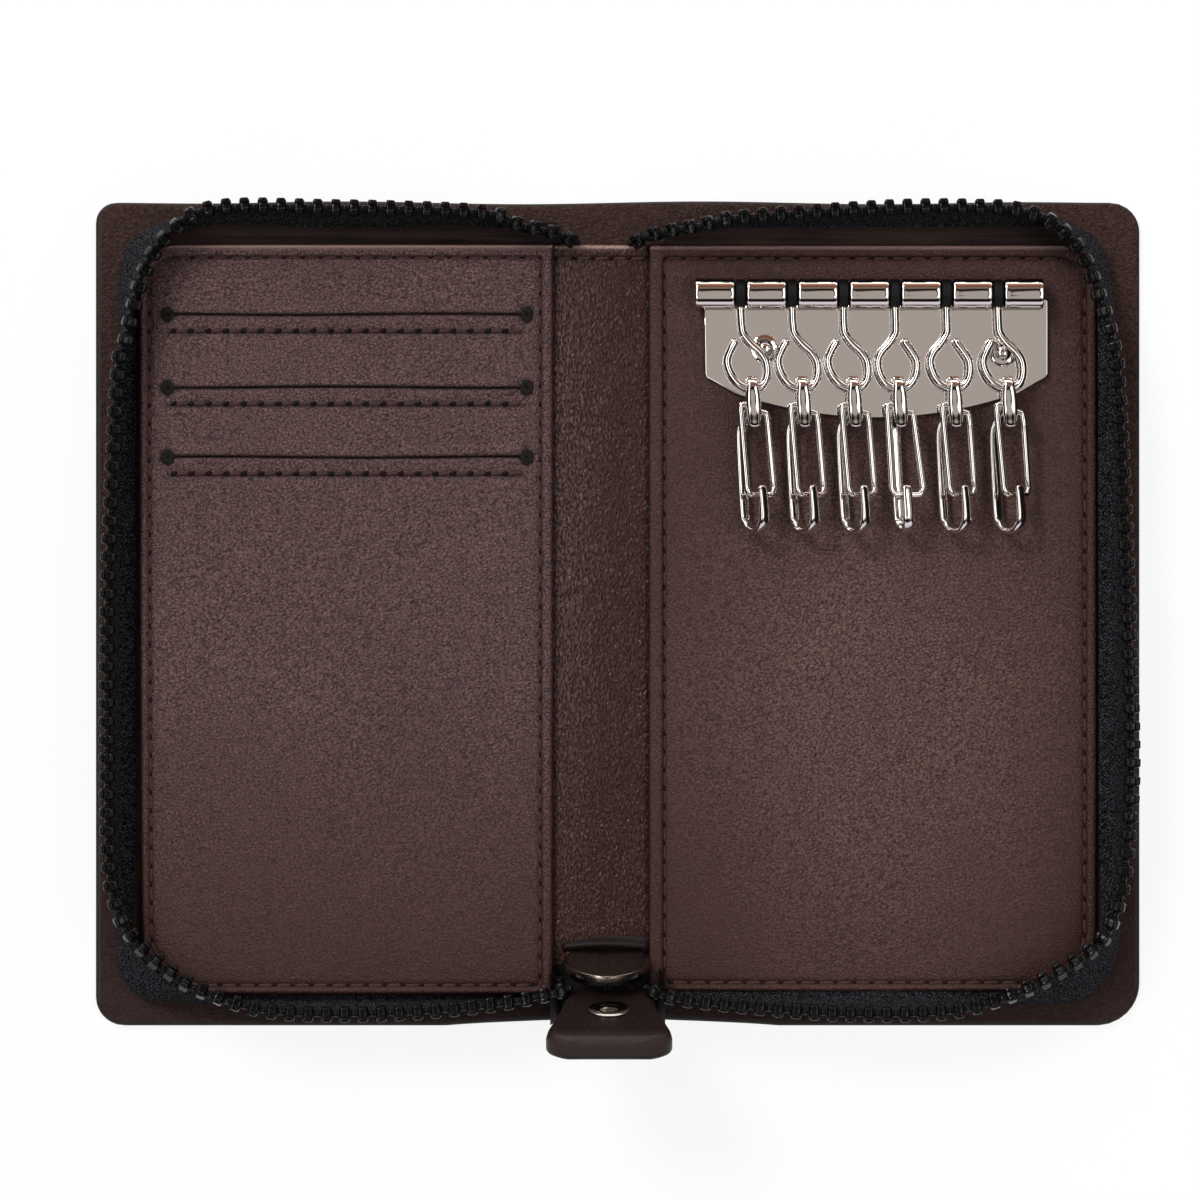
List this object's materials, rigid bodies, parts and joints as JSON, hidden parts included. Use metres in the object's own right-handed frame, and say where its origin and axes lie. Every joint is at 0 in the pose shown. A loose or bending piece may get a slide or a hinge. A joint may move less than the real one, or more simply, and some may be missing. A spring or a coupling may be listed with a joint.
{
  "type": "zip wallet",
  "caption": "Zip-round key and card wallet lying open: card panel with slits, key panel with rolled key row and snap hooks, toothed zip, slider with leather pull.",
  "frame": {"origin": "under the middle of the spine, on the outer face of the cover", "axes": "+Z out of the open wallet's inside, +X to the key side, +Y to the top edge, away from the slider"},
  "size_m": [0.1672, 0.1351, 0.0305],
  "materials": {
    "leather": "fine pebbled grain, satin, dark brown",
    "lining": "smooth dark brown lining",
    "tape": "black woven zip tape",
    "teeth": "black moulded teeth",
    "gunmetal": "dark polished metal",
    "nickel": "bright nickel plate",
    "black_plastic": "black plastic"
  },
  "bodies": {
    "spine": {"spine_cover": "leather", "spine_lining": "leather", "slider_body": "gunmetal", "slider_lip": "leather"},
    "pull": {"pull_tab": "leather", "pull_rivet": "nickel", "pull_link": "gunmetal"},
    "left_half": {"left_cover": "leather", "left_lining": "lining", "card_liner_1": "lining", "card_liner_2": "lining", "card_liner_3": "lining", "card_panel": "leather", "left_zip_tape": "tape", "left_zip_teeth": "teeth", "left_tape_end": "tape", "left_teeth_end": "teeth"},
    "right_half": {"right_cover": "leather", "right_lining": "lining", "key_panel": "leather", "right_zip_tape": "tape", "right_zip_teeth": "teeth", "right_tape_end": "tape", "right_teeth_end": "teeth", "key_row": "nickel", "key_rod": "black_plastic", "row_rivet_left": "nickel", "row_rivet_right": "nickel"},
    "hook_1": {"hook_bush_1": "black_plastic", "hook_loop_1": "nickel"},
    "snap_1": {"snap_hook_1": "nickel"},
    "gate_1": {"snap_gate_1": "nickel"},
    "hook_2": {"hook_bush_2": "black_plastic", "hook_loop_2": "nickel"},
    "snap_2": {"snap_hook_2": "nickel"},
    "gate_2": {"snap_gate_2": "nickel"},
    "hook_3": {"hook_bush_3": "black_plastic", "hook_loop_3": "nickel"},
    "snap_3": {"snap_hook_3": "nickel"},
    "gate_3": {"snap_gate_3": "nickel"},
    "hook_4": {"hook_bush_4": "black_plastic", "hook_loop_4": "nickel"},
    "snap_4": {"snap_hook_4": "nickel"},
    "gate_4": {"snap_gate_4": "nickel"},
    "hook_5": {"hook_bush_5": "black_plastic", "hook_loop_5": "nickel"},
    "snap_5": {"snap_hook_5": "nickel"},
    "gate_5": {"snap_gate_5": "nickel"},
    "hook_6": {"hook_bush_6": "black_plastic", "hook_loop_6": "nickel"},
    "snap_6": {"snap_hook_6": "nickel"},
    "gate_6": {"snap_gate_6": "nickel"}
  },
  "joints": [
    {"name": "left_fold", "type": "hinge", "parent": "spine", "child": "left_half", "pos_m": [-0.0108, 0, 0.00165], "axis": [0, -1, 0], "range_deg": [-90, 0], "deforming": ["left_tape_end", "left_teeth_end"]},
    {"name": "right_fold", "type": "hinge", "parent": "spine", "child": "right_half", "pos_m": [0.0108, 0, 0.00165], "axis": [0, 1, 0], "range_deg": [-90, 0], "deforming": ["right_tape_end", "right_teeth_end"]},
    {"name": "pull_swing", "type": "hinge", "parent": "spine", "child": "pull", "pos_m": [-0.0005, -0.05837, 0.00616], "axis": [1, 0, 0], "range_deg": [0, 74]},
    {"name": "hook_1_swing", "type": "hinge", "parent": "right_half", "child": "hook_1", "pos_m": [0.02037, 0.05085, 0.00615], "axis": [-1, 0, 0], "range_deg": [0, 120]},
    {"name": "snap_1_swing", "type": "hinge", "parent": "hook_1", "child": "snap_1", "pos_m": [0.02227, 0.03578, 0.00707], "axis": [-1, 0, 0], "range_deg": [0, 100]},
    {"name": "gate_1_open", "type": "hinge", "parent": "snap_1", "child": "gate_1", "pos_m": [0.02246, 0.03238, 0.00797], "axis": [0.848, 0, -0.5299], "range_deg": [0, 12], "stiffness_Nm_per_rad": 0.01, "springref_deg": -11.46},
    {"name": "hook_2_swing", "type": "hinge", "parent": "right_half", "child": "hook_2", "pos_m": [0.02854, 0.05085, 0.00615], "axis": [-1, 0, 0], "range_deg": [0, 120]},
    {"name": "snap_2_swing", "type": "hinge", "parent": "hook_2", "child": "snap_2", "pos_m": [0.03024, 0.03578, 0.00707], "axis": [-1, 0, 0], "range_deg": [0, 100]},
    {"name": "gate_2_open", "type": "hinge", "parent": "snap_2", "child": "gate_2", "pos_m": [0.03043, 0.03238, 0.00797], "axis": [0.8387, 0, -0.5446], "range_deg": [0, 12], "stiffness_Nm_per_rad": 0.01, "springref_deg": -11.46},
    {"name": "hook_3_swing", "type": "hinge", "parent": "right_half", "child": "hook_3", "pos_m": [0.03671, 0.05085, 0.00615], "axis": [-1, 0, 0], "range_deg": [0, 120]},
    {"name": "snap_3_swing", "type": "hinge", "parent": "hook_3", "child": "snap_3", "pos_m": [0.03831, 0.03578, 0.00707], "axis": [-1, 0, 0], "range_deg": [0, 100]},
    {"name": "gate_3_open", "type": "hinge", "parent": "snap_3", "child": "gate_3", "pos_m": [0.0385, 0.03238, 0.00797], "axis": [0.829, 0, -0.5592], "range_deg": [0, 12], "stiffness_Nm_per_rad": 0.01, "springref_deg": -11.46},
    {"name": "hook_4_swing", "type": "hinge", "parent": "right_half", "child": "hook_4", "pos_m": [0.04489, 0.05085, 0.00615], "axis": [-1, 0, 0], "range_deg": [0, 120]},
    {"name": "snap_4_swing", "type": "hinge", "parent": "hook_4", "child": "snap_4", "pos_m": [0.04549, 0.03578, 0.00707], "axis": [-1, 0, 0], "range_deg": [0, 100]},
    {"name": "gate_4_open", "type": "hinge", "parent": "snap_4", "child": "gate_4", "pos_m": [0.04567, 0.03238, 0.00797], "axis": [0.9781, 0, -0.2079], "range_deg": [0, 12], "stiffness_Nm_per_rad": 0.01, "springref_deg": -11.46},
    {"name": "hook_5_swing", "type": "hinge", "parent": "right_half", "child": "hook_5", "pos_m": [0.05306, 0.05085, 0.00615], "axis": [-1, 0, 0], "range_deg": [0, 120]},
    {"name": "snap_5_swing", "type": "hinge", "parent": "hook_5", "child": "snap_5", "pos_m": [0.05426, 0.03578, 0.00707], "axis": [-1, 0, 0], "range_deg": [0, 100]},
    {"name": "gate_5_open", "type": "hinge", "parent": "snap_5", "child": "gate_5", "pos_m": [0.05444, 0.03238, 0.00797], "axis": [0.809, 0, -0.5878], "range_deg": [0, 12], "stiffness_Nm_per_rad": 0.01, "springref_deg": -11.46},
    {"name": "hook_6_swing", "type": "hinge", "parent": "right_half", "child": "hook_6", "pos_m": [0.06123, 0.05085, 0.00615], "axis": [-1, 0, 0], "range_deg": [0, 120]},
    {"name": "snap_6_swing", "type": "hinge", "parent": "hook_6", "child": "snap_6", "pos_m": [0.06283, 0.03578, 0.00707], "axis": [-1, 0, 0], "range_deg": [0, 100]},
    {"name": "gate_6_open", "type": "hinge", "parent": "snap_6", "child": "gate_6", "pos_m": [0.06302, 0.03238, 0.00797], "axis": [0.7986, 0, -0.6018], "range_deg": [0, 12], "stiffness_Nm_per_rad": 0.01, "springref_deg": -11.46}
  ]
}
